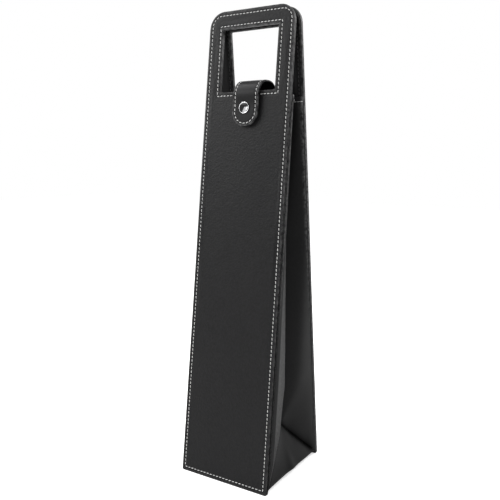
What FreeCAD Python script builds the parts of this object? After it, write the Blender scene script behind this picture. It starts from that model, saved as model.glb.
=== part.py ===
import FreeCAD, Part
import math
import os
import re
import Sketcher

# Carrier for one wine bottle: two stiff leather-covered panels lean together over a flat base,
# folded gussets close the sides, and a strap with a press stud ties the panels under the handles.
# Frame: X across the panels, -Y the front with the press stud, Z up, origin on the floor.

SIZES = {
    # panels, measured along their own slope
    "panel_length": 482.6,
    "foot_width": 105.0,
    "top_width": 98.9,
    "foot_depth": 115.2,
    "top_depth": 14.0,
    "top_corner_radius": 16.5,
    "skin_thickness": 0.9,
    "board_thickness": 2.2,
    "lining_thickness": 2.4,
    "lining_inset": 0.8,
    "edge_round": 0.5,
    "fit_clearance": 0.3,
    "cut_overrun": 5.0,
    # handle cut-out
    "cutout_width": 66.6,
    "cutout_height": 63.7,
    "handle_bar": 18.2,
    "cutout_radius": 1.2,
    # base
    "base_height": 4.0,
    "base_board_thickness": 2.2,
    "base_lining_thickness": 0.8,
    # side gussets and the seams that hold them
    "seam_thickness": 0.8,
    "seam_width": 9.0,
    "gusset_thickness": 0.8,
    "gusset_inset": 0.5,
    "hem_below_cutout": 6.2,
    "fold_height": 47.0,
    "fold_depth": 15.0,
    "mouth_fold_depth": 36.0,
    "shoulder_height": 96.0,
    "shoulder_depth": 3.4,
    "shoulder_reach": 29.0,
    "roll_height": 251.0,
    "roll_reach": 4.0,
    # strap
    "strap_width": 29.4,
    "strap_leather_thickness": 1.2,
    "strap_lining_thickness": 1.0,
    "strap_standoff": 2.0,
    "arch_rise": 11.9,
    "bend_radius": 10.5,
    "tongue_length": 35.3,
    "tail_length": 34.0,
    "tip_share": 0.49,
    "bend_gap": 0.1,
    # press stud
    "snap_drop": 17.3,
    "cap_diameter": 12.5,
    "cap_height": 1.9,
    "cap_rim_width": 1.3,
    "cap_rim_height": 1.2,
    "cap_dish_height": 0.7,
    "shank_diameter": 3.0,
    "shank_play": 0.1,
    "socket_diameter": 10.0,
    "socket_height": 1.3,
    "socket_bore": 5.8,
    "stud_diameter": 9.0,
    "stud_flange_height": 0.5,
    "stud_head_diameter": 3.8,
    "stud_head_height": 1.2,
    "stud_head_round": 1.1,
    "post_diameter": 8.0,
    "post_flange_height": 0.5,
}

doc = FreeCAD.newDocument("bottle_carrier")
sheet = doc.addObject("Spreadsheet::Sheet", "Sizes")
for row, (name, value) in enumerate(SIZES.items(), start=1):
    sheet.set(f"A{row}", name)
    sheet.set(f"B{row}", str(value))
    sheet.setAlias(f"B{row}", name)
doc.recompute()

# Lengths and angles that several pieces share, written in the driving sizes.
SHARED = {
    "lean": "asin((foot_depth - top_depth) / (2 * panel_length))",
    "cover_depth": "skin_thickness + board_thickness",
    "stack_depth": "cover_depth + lining_thickness",
    "cutout_start": "panel_length - handle_bar - cutout_height",
    "hem_place": "cutout_start - hem_below_cutout",
    "hem_height": "hem_place * cos(lean)",
    "seam_start": "(base_height + stack_depth * sin(lean)) / cos(lean)",
    "snap_place": "cutout_start - snap_drop",
    "shank_hole": "shank_diameter + 2 * shank_play",
    "strap_thickness": "strap_leather_thickness + strap_lining_thickness",
    "arch_top": "cutout_start * cos(lean) + arch_rise",
}


def bound(text):
    """Expression text with the shared names written out and every size name pointed at the sheet."""
    def written_out(word):
        if word[0] in SHARED:
            return "(" + bound(SHARED[word[0]]) + ")"
        return "Sizes." + word[0] if word[0] in SIZES else word[0]
    return re.sub(r"[a-z_]+", written_out, text)


def number(text):
    """Plain value of an expression in the sheet's sizes."""
    value = sheet.evalExpression(bound(text))
    return float(getattr(value, "Value", value))


def new_body(label):
    body = doc.addObject("PartDesign::Body", label)
    body.Label = label
    return body


def new_sketch(body, name, plane, offset):
    """Empty sketch on one of the body's origin planes, moved along its normal."""
    sketch = body.newObject("Sketcher::SketchObject", name)
    support = [item for item in body.Origin.OriginFeatures if item.Role == plane]
    sketch.AttachmentSupport = [(support[0], "")]
    sketch.MapMode = "FlatFace"
    sketch.setExpression("AttachmentOffset.Base.z", bound(offset))
    return sketch


def hold_point(sketch, geometry, end, x, y):
    """Bind one point of a sketch to a pair of expressions."""
    for kind, text in (("DistanceX", x), ("DistanceY", y)):
        held = sketch.addConstraint(Sketcher.Constraint(kind, -1, 1, geometry, end, number(text)))
        sketch.setExpression(f"Constraints[{held}]", bound(text))


def polygon_sketch(body, name, plane, loops, offset="0"):
    """Closed polygons on an origin plane, every corner bound to a pair of expressions."""
    sketch = new_sketch(body, name, plane, offset)
    for loop in loops:
        corners = [FreeCAD.Vector(number(x), number(y), 0) for x, y in loop]
        first = sketch.GeometryCount
        for start, end in zip(corners, corners[1:] + corners[:1]):
            sketch.addGeometry(Part.LineSegment(start, end), False)
        for index, (x, y) in enumerate(loop):
            line = first + index
            following = first + (index + 1) % len(loop)
            sketch.addConstraint(Sketcher.Constraint("Coincident", line, 2, following, 1))
            hold_point(sketch, line, 1, x, y)
    return sketch


def circle_sketch(body, name, plane, x, y, diameter, offset="0"):
    """One circle on an origin plane, its centre and diameter bound to expressions."""
    sketch = new_sketch(body, name, plane, offset)
    centre = FreeCAD.Vector(number(x), number(y), 0)
    sketch.addGeometry(Part.Circle(centre, FreeCAD.Vector(0, 0, 1), number(diameter) / 2), False)
    hold_point(sketch, 0, 3, x, y)
    across = sketch.addConstraint(Sketcher.Constraint("Diameter", 0, number(diameter)))
    sketch.setExpression(f"Constraints[{across}]", bound(diameter))
    return sketch


def pad(body, sketch, length, reverse=False, both=False):
    feature = body.newObject("PartDesign::Pad", sketch.Name + "_pad")
    feature.Profile = sketch
    feature.setExpression("Length", bound(length))
    feature.Reversed = reverse
    feature.Midplane = both
    doc.recompute()
    return feature


def pocket(body, sketch, length, reverse=False, both=False):
    """Cut a sketch out of the body, and make sure that it did cut."""
    before = body.Shape.Volume
    feature = body.newObject("PartDesign::Pocket", sketch.Name + "_pocket")
    feature.Profile = sketch
    feature.setExpression("Length", bound(length))
    feature.Reversed = reverse
    feature.Midplane = both
    doc.recompute()
    if body.Shape.Volume >= before:
        raise RuntimeError(feature.Name + " cuts nothing")
    return feature


def fillet(body, radius, wanted):
    """Round the edges of the body's last feature that the test picks."""
    base = body.Tip
    names = [f"Edge{i}" for i, edge in enumerate(base.Shape.Edges, start=1) if wanted(edge)]
    feature = body.newObject("PartDesign::Fillet", body.Name + "_round")
    feature.Base = (base, names)
    feature.setExpression("Radius", bound(radius))
    doc.recompute()
    return feature


def hollow(body, wall, depth):
    """Hollow a plate out to a tray that is open on its face at this depth."""
    base = body.Tip
    faces = [f"Face{i}" for i, face in enumerate(base.Shape.Faces, start=1)
             if abs(face.BoundBox.YMin - depth) < number("fit_clearance") / 10]
    feature = body.newObject("PartDesign::Thickness", body.Name + "_tray")
    feature.Base = (base, faces)
    feature.setExpression("Value", bound(wall))
    feature.Reversed = True
    feature.Join = 0
    doc.recompute()
    return feature


def revolve(body, sketch, angle, axis, reverse=False):
    feature = body.newObject("PartDesign::Revolution", sketch.Name + "_turn")
    feature.Profile = sketch
    feature.ReferenceAxis = (sketch, [axis])
    feature.setExpression("Angle", bound(angle))
    feature.Reversed = reverse
    doc.recompute()
    return feature


def along_y(edge):
    """True for a straight edge square to the panel."""
    ends = [vertex.Point for vertex in edge.Vertexes]
    return len(ends) == 2 and abs((ends[1] - ends[0]).normalize().y) > math.cos(math.radians(1))


def middle(edge):
    return edge.BoundBox.Center


def lies_on(edge, y):
    """True for an edge that lies in the plane at this depth."""
    box = edge.BoundBox
    return max(abs(box.YMin - y), abs(box.YMax - y)) < number("fit_clearance") / 10


def half_width(z):
    """Expression for half the panel's width at a place along its slope."""
    return f"(foot_width / 2 - (foot_width - top_width) / 2 * ({z}) / panel_length)"


def outline(inset, bottom):
    """Corners of the tapered panel, drawn in from its edge."""
    top = f"panel_length - ({inset})"
    low, high = f"{half_width(bottom)} - ({inset})", f"{half_width(top)} - ({inset})"
    return [(f"-({low})", bottom), (low, bottom), (high, top), (f"-({high})", top)]


def cutout(outset):
    """Corners of the handle cut-out, let out from its edge."""
    side = f"cutout_width / 2 + ({outset})"
    low, high = f"cutout_start - ({outset})", f"cutout_start + cutout_height + ({outset})"
    return [(f"-({side})", low), (side, low), (side, high), (f"-({side})", high)]


def panel_plate(label, inset, bottom, start, depth):
    """Flat plate of a panel: tapered outline, round corners and the handle cut-out.

    The plate stands in its own XZ plane, outer face first, and thickens towards +Y.
    """
    body = new_body(label)
    plate = polygon_sketch(body, label + "_outline", "XZ_Plane", [outline(inset, bottom)], f"-({start})")
    pad(body, plate, depth, reverse=True)
    half_way = number("panel_length") / 2
    fillet(body, f"top_corner_radius - ({inset})", lambda e: along_y(e) and middle(e).z > half_way)
    window = polygon_sketch(body, label + "_window", "XZ_Plane", [cutout(inset)], f"-({start})")
    pocket(body, window, depth)
    side = number(f"cutout_width / 2 + ({inset})")
    fillet(body, f"cutout_radius + ({inset})",
           lambda e: along_y(e) and abs(abs(middle(e).x) - side) < number("fit_clearance")
           and middle(e).z > half_way)
    return body


def flat_foot(body):
    """Trim the foot of a leaning plate so that it stands flat on the floor."""
    far = "(stack_depth + cut_overrun)"
    wedge = [("-cut_overrun", "-cut_overrun * tan(lean)"), (far, f"{far} * tan(lean)"),
             (far, "-cut_overrun"), ("-cut_overrun", "-cut_overrun")]
    sketch = polygon_sketch(body, body.Label + "_foot", "YZ_Plane", [wedge])
    pocket(body, sketch, "foot_width + cut_overrun", both=True)


def seam_strip(label, sign):
    """L-shaped seam allowance of a gusset: sewn in behind the cover, turned over the lining's edge."""
    body = new_body(label)
    low, high = half_width("seam_start"), half_width("hem_place")

    def band(width):
        corners = [(f"{low} - {width}", "seam_start"), (low, "seam_start"),
                   (high, "hem_place"), (f"{high} - {width}", "hem_place")]
        return [(f"{sign} * ({x})", z) for x, z in corners]

    flange = polygon_sketch(body, label + "_flange", "XZ_Plane", [band("seam_width")], "-cover_depth")
    pad(body, flange, "seam_thickness", reverse=True)
    turn = polygon_sketch(body, label + "_turn", "XZ_Plane", [band("lining_inset")], "-cover_depth")
    pad(body, turn, "lining_thickness", reverse=True)
    return body


def lean_over(bodies, side):
    """Stand pieces drawn in a panel's own frame at the foot of that panel, leaning inwards."""
    turn, reach = (0, -number("foot_depth") / 2) if side == "front" else (180, number("foot_depth") / 2)
    for body in bodies:
        body.Placement = FreeCAD.Placement(FreeCAD.Vector(0, reach, 0),
                                           FreeCAD.Rotation(turn, 0, -number("lean")))


def build_panel(side):
    """Cover, board, lining and seam strips of one panel, stacked from its outer face inwards."""
    cover = panel_plate(side + "_cover", "0", "0", "0", "cover_depth")
    flat_foot(cover)
    if side == "front":
        hole = circle_sketch(cover, "cover_hole", "XZ_Plane", "0", "snap_place", "shank_hole")
    hollow(cover, "skin_thickness", number("cover_depth"))
    fillet(cover, "edge_round", lambda e: lies_on(e, 0))
    if side == "front":
        pocket(cover, hole, "cover_depth")

    gap = "skin_thickness + fit_clearance / 2"
    lowest = "(cover_depth * tan(lean) + skin_thickness / cos(lean) + fit_clearance / 2)"
    board = panel_plate(side + "_board", gap, lowest, "skin_thickness", "board_thickness")
    if side == "front":
        well = circle_sketch(board, "board_hole", "XZ_Plane", "0", "snap_place",
                             "post_diameter + 2 * shank_play", "-skin_thickness")
        pocket(board, well, "board_thickness")

    lining = panel_plate(side + "_lining", "lining_inset", "0", "cover_depth", "lining_thickness")
    rebates = []
    low, high = half_width("seam_start"), half_width("hem_place")
    for sign in ("1", "-1"):
        corners = [(f"{low} - seam_width", "seam_start"), (f"{low} + cut_overrun", "seam_start"),
                   (f"{high} + cut_overrun", "hem_place"), (f"{high} - seam_width", "hem_place")]
        rebates.append([(f"{sign} * ({x})", z) for x, z in corners])
    rebate = polygon_sketch(lining, side + "_rebates", "XZ_Plane", rebates, "-cover_depth")
    pocket(lining, rebate, "seam_thickness")
    flat_foot(lining)
    fillet(lining, "edge_round", lambda e: lies_on(e, number("stack_depth")))

    right = seam_strip(side + "_right_seam", "1" if side == "front" else "-1")
    left = seam_strip(side + "_left_seam", "-1" if side == "front" else "1")
    lean_over([cover, board, lining, right, left], side)
    return [cover, board, lining, right, left]


def clear_depth(z):
    """Expression for half the clear depth between the panels at a height above the floor."""
    return f"(foot_depth / 2 - ({z}) * tan(lean) - stack_depth / cos(lean) - fit_clearance)"


def build_base():
    """Base of three flat layers, hung between the panels a little above the floor."""
    stack = "(skin_thickness + base_board_thickness + base_lining_thickness)"
    draw_in = f"(fold_depth * {stack} / fold_height + gusset_thickness + gusset_inset + fit_clearance)"
    half_x = f"({half_width('base_height')} - {draw_in})"
    half_y = clear_depth(f"(base_height + {stack})")
    layers, start = [], "base_height"
    for label, thickness in (("base_cover", "skin_thickness"), ("base_board", "base_board_thickness"),
                             ("base_lining", "base_lining_thickness")):
        body = new_body(label)
        corners = [(f"-{half_x}", f"-{half_y}"), (half_x, f"-{half_y}"), (half_x, half_y),
                   (f"-{half_x}", half_y)]
        sketch = polygon_sketch(body, label + "_outline", "XY_Plane", [corners], start)
        pad(body, sketch, thickness)
        layers.append(body)
        start = f"{start} + {thickness}"
    return layers


def thick_sheet(points, triangles, thickness):
    """Solid of a folded sheet: the triangles, and the same offset inwards along the mean normals."""
    normals = [FreeCAD.Vector() for _ in points]
    for a, b, c in triangles:
        face = (points[b] - points[a]).cross(points[c] - points[a]).normalize()
        for index in (a, b, c):
            normals[index] = normals[index] + face
    inner = [point - normal.normalize() * thickness for point, normal in zip(points, normals)]
    edges = {}
    for a, b, c in triangles:
        for pair in ((a, b), (b, c), (c, a)):
            edges[frozenset(pair)] = None if frozenset(pair) in edges else pair
    loops = [[points[i] for i in t] for t in triangles]
    loops += [[inner[i] for i in reversed(t)] for t in triangles]
    for pair in filter(None, edges.values()):
        a, b = pair
        loops += [[points[b], points[a], inner[a]], [points[b], inner[a], inner[b]]]
    faces = [Part.Face(Part.makePolygon(loop + loop[:1])) for loop in loops]
    solid = Part.Solid(Part.Shell(faces))
    return solid if solid.Volume > 0 else solid.reversed()


def panel_edge(z):
    """Point at the inner edge of the right front panel, at a height above the floor, for the gusset."""
    x = number(half_width(z)) - number("gusset_inset")
    return FreeCAD.Vector(x, number("gusset_thickness") - number(clear_depth(z)), number(z))


def build_gusset(label, sign):
    """Side gusset: two walls folded inwards to a crease, and a foot that leans in to the fold point.

    Each wall rolls straight back from its panel and bulges to a shoulder before it folds in.
    """
    foot, mouth = panel_edge("base_height"), panel_edge("hem_height")
    back = FreeCAD.Vector(0, number("roll_reach"), 0)
    bulge = FreeCAD.Vector(-number("shoulder_depth"), number("shoulder_reach"), 0)
    fold = FreeCAD.Vector(foot.x - number("fold_depth"), 0, number("base_height + fold_height"))
    crease = FreeCAD.Vector(mouth.x - number("mouth_fold_depth"), 0, mouth.z)
    front = [foot, mouth, mouth + back, panel_edge("base_height + roll_height") + back,
             panel_edge("base_height + shoulder_height") + bulge]
    points = front + [FreeCAD.Vector(p.x, -p.y, p.z) for p in front] + [fold, crease]
    at_foot, at_mouth, at_hem_roll, at_roll, at_shoulder = range(len(front))
    at_fold, at_crease = len(points) - 2, len(points) - 1
    wall = [(at_foot, at_roll, at_mouth), (at_roll, at_hem_roll, at_mouth), (at_foot, at_shoulder, at_roll),
            (at_foot, at_fold, at_shoulder), (at_shoulder, at_fold, at_crease),
            (at_shoulder, at_crease, at_roll), (at_roll, at_crease, at_hem_roll)]
    across = {index: index + len(front) for index in range(len(front))}
    far_wall = [tuple(across.get(index, index) for index in (a, c, b)) for a, b, c in wall]
    triangles = wall + far_wall + [(at_foot, across[at_foot], at_fold)]
    if sign < 0:
        points = [FreeCAD.Vector(-p.x, p.y, p.z) for p in points]
        triangles = [(a, c, b) for a, b, c in triangles]
    gusset = doc.addObject("Part::Feature", label)
    gusset.Label = label
    gusset.Shape = thick_sheet(points, triangles, number("gusset_thickness"))
    gusset.Placement = FreeCAD.Placement()
    return gusset


def level(depth, height):
    """Place along a panel's slope where a line at this depth reaches a height above the floor."""
    return f"(({height} + ({depth}) * sin(lean)) / cos(lean))"


def split(height):
    """Point of the strap's hinge line, midway between the panels, in a panel's depth and slope."""
    reach = "(foot_depth / 2 - bend_gap)"
    return f"({reach} * cos(lean) - {height} * sin(lean))", f"({reach} * sin(lean) + {height} * cos(lean))"


def strap_ply(label, side, standoff, inner, thickness, end):
    """One layer of half the strap: straight along its panel, round a bend, level to the hinge line.

    It is drawn in the panel's own frame: depth along Y, outwards negative, and the slope along Z.
    """
    body = new_body(label)
    near, far = f"-({standoff} + {inner})", f"-({standoff} + {inner} + {thickness})"
    under = f"(arch_top - strap_thickness + {inner})"
    over = f"({under} + {thickness})"
    profile = [(near, end), (far, end), (far, level(far, over)), split(over), split(under),
               (near, level(near, under))]
    pad(body, polygon_sketch(body, label + "_profile", "YZ_Plane", [profile]), "strap_width", both=True)
    for depth, height, radius in ((near, under, f"bend_radius + {inner}"),
                                  (far, over, f"bend_radius + {inner} + {thickness}")):
        corner = FreeCAD.Vector(0, number(depth), number(level(depth, height)))
        fillet(body, radius, lambda e: (middle(e) - corner).Length < number("fit_clearance"))
    if side == "front":
        lowest = number(end)
        fillet(body, "strap_width * tip_share",
               lambda e: along_y(e) and abs(middle(e).z - lowest) < number("fit_clearance"))
        hole = circle_sketch(body, label + "_hole", "XZ_Plane", "0", "snap_place", "shank_hole")
        pocket(body, hole, f"2 * ({standoff} + strap_thickness + cut_overrun)", both=True)
    return body


def build_strap():
    """Two layers, each in two halves: a bridge sewn to the back panel and a tongue over the front one."""
    plies = []
    tip, tail = "cutout_start - tongue_length", "cutout_start - tail_length"
    for name, side, standoff, end in (("strap_tongue", "front", "strap_standoff", tip),
                                      ("strap_bridge", "back", "0", tail)):
        halves = [strap_ply(name + "_lining", side, standoff, "0", "strap_lining_thickness", end),
                  strap_ply(name + "_leather", side, standoff, "strap_lining_thickness",
                            "strap_leather_thickness", end)]
        lean_over(halves, side)
        plies += halves
    return plies


def snap_piece(label, profile):
    """Turned piece of the press stud; its axis leaves the front cover's face at the stud's place."""
    body = new_body(label)
    sketch = polygon_sketch(body, label + "_profile", "XZ_Plane", [profile])
    revolve(body, sketch, "360 deg", "V_Axis")
    return body


def build_snap():
    """Cap and socket on the strap, stud and post on the front panel, all on one axis."""
    face = "strap_standoff"
    outer = f"({face} + strap_thickness)"
    cap_radius, shank_radius = "cap_diameter / 2", "shank_diameter / 2"
    rim, rim_middle = f"{cap_radius} - cap_rim_width", f"{cap_radius} - cap_rim_width / 2"
    cap = snap_piece("snap_cap", [
        ("0", face), (shank_radius, face), (shank_radius, outer), (cap_radius, outer),
        (cap_radius, f"{outer} + cap_rim_height"), (rim_middle, f"{outer} + cap_height"),
        (rim, f"{outer} + cap_rim_height"), ("0", f"{outer} + cap_dish_height")])
    socket = snap_piece("snap_socket", [
        ("socket_bore / 2", f"{face} - socket_height"), ("socket_diameter / 2", f"{face} - socket_height"),
        ("socket_diameter / 2", face), ("socket_bore / 2", face)])
    top = "stud_flange_height + stud_head_height"
    stud = snap_piece("snap_stud", [
        ("0", "0"), ("stud_diameter / 2", "0"), ("stud_diameter / 2", "stud_flange_height"),
        ("stud_head_diameter / 2", "stud_flange_height"), ("stud_head_diameter / 2", top), ("0", top)])
    height = number(top)
    fillet(stud, "stud_head_round", lambda e: e.BoundBox.ZMin > height - number("stud_flange_height") / 2)
    behind = "-skin_thickness"
    post = snap_piece("snap_post", [
        ("0", f"{behind} - post_flange_height"), ("post_diameter / 2", f"{behind} - post_flange_height"),
        ("post_diameter / 2", behind), (shank_radius, behind), (shank_radius, "0"), ("0", "0")])
    place, lean = number("snap_place"), math.radians(number("lean"))
    origin = FreeCAD.Vector(0, -number("foot_depth") / 2 + place * math.sin(lean), place * math.cos(lean))
    for body in (cap, socket, stud, post):
        body.Placement = FreeCAD.Placement(origin, FreeCAD.Rotation(0, 0, 90 - math.degrees(lean)))
    return [cap, socket, stud, post]


pieces = build_panel("front") + build_panel("back") + build_base()
pieces += [build_gusset("right_gusset", 1), build_gusset("left_gusset", -1)]
pieces += build_strap() + build_snap()
doc.recompute()

for item in doc.Objects:
    if "Invalid" in item.State or "Error" in item.State:
        raise RuntimeError(item.Name + " did not build")
for piece in pieces:
    if piece.Shape.isNull() or not piece.Shape.isValid():
        raise RuntimeError(piece.Label + " has no valid shape")

os.makedirs("parts", exist_ok=True)
for piece in pieces:
    piece.Shape.exportStep(f"parts/{piece.Label}.step")
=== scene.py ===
import math

import bmesh
import bpy
import numpy as np
from mathutils import Matrix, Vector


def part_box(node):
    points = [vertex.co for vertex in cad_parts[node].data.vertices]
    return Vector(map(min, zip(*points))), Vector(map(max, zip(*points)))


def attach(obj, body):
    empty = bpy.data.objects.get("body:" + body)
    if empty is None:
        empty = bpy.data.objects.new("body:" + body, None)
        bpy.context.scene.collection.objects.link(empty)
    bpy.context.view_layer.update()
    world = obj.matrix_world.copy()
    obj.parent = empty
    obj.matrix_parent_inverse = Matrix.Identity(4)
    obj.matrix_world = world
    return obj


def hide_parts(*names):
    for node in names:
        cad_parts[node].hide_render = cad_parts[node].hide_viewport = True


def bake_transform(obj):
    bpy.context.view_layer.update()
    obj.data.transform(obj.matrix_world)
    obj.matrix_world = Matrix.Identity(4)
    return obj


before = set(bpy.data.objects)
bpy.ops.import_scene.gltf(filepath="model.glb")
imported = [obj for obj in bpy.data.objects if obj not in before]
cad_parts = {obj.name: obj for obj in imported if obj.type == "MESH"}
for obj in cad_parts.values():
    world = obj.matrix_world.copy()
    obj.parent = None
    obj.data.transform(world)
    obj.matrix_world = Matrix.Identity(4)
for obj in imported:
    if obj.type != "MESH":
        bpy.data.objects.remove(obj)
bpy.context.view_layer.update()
COVER_LOW, COVER_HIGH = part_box("front_cover")
STRAP_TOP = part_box("strap_tongue_leather")[1].z

# Sign that turns a panel's points to its side, and sign of a gusset's side
SIDES = {"front": 1, "back": -1}
HANDS = {"right": 1, "left": -1}
# Depth over both panels at the foot and at the top, and a panel's length along its slope
FOOT_DEPTH, TOP_DEPTH, SLOPE_LENGTH = 0.1152, 0.014, 0.4826
# Gap that keeps two layers out of the same plane
GAP = 0.0001
# Least radius of a corner's arc, and least width of a part of a wall's fold
LEAST_RADIUS, LEAST_FOLD = 2e-5, 0.0001
# Points along a loop's four sides, from its first corner round
PANEL_RUNS, SEAM_RUNS, STRAP_RUNS = (34, 104, 24, 104), (60, 60, 60, 60), (1, 130, 8, 130)
# Rows on a panel's face between its two seams
PANEL_ROWS = 24
# Steps across a groove from side to side, and its depth there: one wave of a cosine
WAVE = np.linspace(-1, 1, 9)
BELL = (1 + np.cos(math.pi * WAVE)) / 2
# Places along a panel between which painted light from above grows in, making its edges paler and the
# notch's painted shade weaker, and the share of that painted light
TOP_LIGHT_SPAN, TOP_LIGHT_SHARE = (0.1, 0.38), 0.6
# A stitch's section, in shares of the thread: what is left at its tips, its flatness, lift and sink
THREAD_TIP, THREAD_FLAT, THREAD_LIFT, THREAD_SINK = 0.03, 0.75, 0.35, 1.1
# Height over which a lower fold is blunt, and how dark its painted shade is
FOLD_BLUNT, FOLD_SHADE = 0.0025, 0.9
# Rows of a wall's hem above its step, its seam's share of their height, and the column it starts from
HEM_ROWS, HEM_SEAM = 5, 0.18
HEM_START = {"front": 7, "back": 1}
# Radius of the strap's tip, as a share of its width
TIP_ROUND = 0.49
# Where the painted dark reflection in the cap's dish starts to end and ends, as shares of its radius
DISH_EDGE = 0.88, 0.92

bl_info = {
    "name": "Bottle Carrier",
    "version": (1, 0, 0),
    "blender": (4, 5, 0),
    "location": "View3D > Sidebar > Carrier",
    "description": "Dresses the frame of a leather-covered carrier for one bottle",
    "category": "Object",
}


def length(name, description, default):
    """A size in metres."""
    return bpy.props.FloatProperty(name=name, description=description, default=default, unit="LENGTH",
                                   precision=5)


def portion(name, description, default):
    """A share from nothing to the whole."""
    return bpy.props.FloatProperty(name=name, description=description, default=default, min=0.0, max=1.0,
                                   subtype="FACTOR")


def turning(name, description, default):
    """An angle in radians."""
    return bpy.props.FloatProperty(name=name, description=description, default=default, unit="ROTATION")


def wattage(name, description, default):
    """A lamp's power in watts."""
    return bpy.props.FloatProperty(name=name, description=description, default=default, min=0.0,
                                   unit="POWER")


def brightness(name, description, default):
    """A strength of light, where one is white."""
    return bpy.props.FloatProperty(name=name, description=description, default=default, min=0.0)


def colour(name, description, default):
    """A plain colour."""
    return bpy.props.FloatVectorProperty(name=name, description=description, default=default, size=3,
                                         min=0.0, max=1.0, subtype="COLOR")


class PanelSizes(bpy.types.PropertyGroup):
    """Sizes of the two leaning panels, along their own slope."""
    lean: turning("Lean", "How far each panel leans inwards",
                  math.asin((FOOT_DEPTH - TOP_DEPTH) / (2 * SLOPE_LENGTH)))
    foot_depth: length("Foot depth", "From front face to back face on the floor", -2 * COVER_LOW.y)
    foot_width: length("Foot width", "Width of a panel at its foot", 2 * COVER_HIGH.x)
    top_width: length("Top width", "Width of a panel at its top", 0.0989)
    top: length("Height", "Height of the panels' tops above the floor", COVER_HIGH.z)
    corner: length("Top corner", "Radius of the two top corners", 0.0165)
    foot_corner: length("Foot corner", "Radius of the two foot corners", 0.002)
    window_width: length("Cut-out width", "Width of the handle cut-out", 0.0656)
    window_height: length("Cut-out height", "Height of the handle cut-out", 0.0637)
    handle_bar: length("Handle bar", "Depth of the bar over the cut-out", 0.0182)
    window_corner: length("Cut-out corner", "Radius of the cut-out's corners", 0.001)
    window_shift: length("Cut-out shift", "How far the cut-out lies off the middle", -0.0005)
    cover: length("Cover", "Thickness of board and outer leather", 0.0042)
    notch: length("Notch", "Depth of the groove along the front cover's side", 0.0009)
    notch_at: length("Notch place", "From the outer face to the middle of that groove", 0.0023)
    notch_width: length("Notch width", "Width of that groove", 0.0029)
    notch_top: length("Notch top", "Place along the panel above which that groove is sewn tight", 0.395)
    notch_fade: length("Notch fade", "Length over which it comes to be sewn tight there", 0.03)
    notch_tight: portion("Notch tightness", "How much of that groove the sewing closes", 0.8)
    stack: length("Panel", "Thickness of the whole panel", 0.006)
    lining_low: length("Lining foot", "Height of the inner layer's foot above the floor", 0.003)
    lining_inset: length("Lining inset", "How far the inner layer's edge stands back", 0.0008)
    seam_leaf: length("Seam leaf", "How far a gusset's allowance reaches in between the layers", 0.009)
    edge: length("Edge", "Radius of the turned leather edge", 0.0006)
    rim: length("Rim", "Radius of a layer's edge where it meets the next layer", 0.0007)
    groove: length("Groove", "Depth to which the seam pulls the leather in", 0.00028)
    groove_half: length("Groove side", "From the middle of that groove to its side", 0.0011)
    lap: length("Lap", "How far a layer laps back behind its rim", 0.004)
    border: length("Border", "From a panel's edge to where its plain face starts", 0.0074)
    # Reach of the paler edges: rubbing with a painted highlight
    rub_and_highlight: length("Rub", "How far the wear reaches from an edge", 0.0007)
    waviness: length("Waviness", "Unevenness of the leather over the board", 0.00016)


class SeamSizes(bpy.types.PropertyGroup):
    """Sizes of the sewn seams."""
    margin: length("Margin", "From a panel's left edge to its seam", 0.0038)
    right_margin: length("Right margin", "From a panel's right edge to its seam at the top", 0.003)
    right_low: length("Right foot margin", "From a panel's right edge to its seam at the foot", 0.0043)
    foot_margin: length("Foot margin", "From a panel's foot to its seam", 0.0043)
    top_margin: length("Top margin", "From a panel's top to its seam", 0.0044)
    corner: length("Corner", "Radius of the outer seam's two top corners", 0.0105)
    foot_corner: length("Foot corner", "Radius of the outer seam's two foot corners", 0.0008)
    window_corner: length("Cut-out corner", "Radius of the corners of the cut-out's seam", 0.0012)
    window_margin: length("Cut-out margin", "From the cut-out's edge to its seam", 0.003)
    window_left: length("Cut-out left margin", "From the cut-out's left edge to its seam", 0.0023)
    window_right: length("Cut-out right margin", "From the cut-out's right edge to its seam", 0.004)
    window_foot: length("Cut-out foot margin", "From the cut-out's lower edge to its seam", 0.0037)
    strap_margin: length("Strap margin", "From the strap's edge to its seam", 0.0028)
    pitch: length("Pitch", "From one stitch to the next", 0.004)
    stitch: length("Stitch", "Visible length of one stitch", 0.0029)
    hem_pitch: length("Hem pitch", "From one stitch of the hem to the next", 0.0031)
    thread: length("Thread", "Radius of the thread", 0.00034)
    slant: portion("Slant", "Sideways share of a stitch's run", 0.1)


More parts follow.
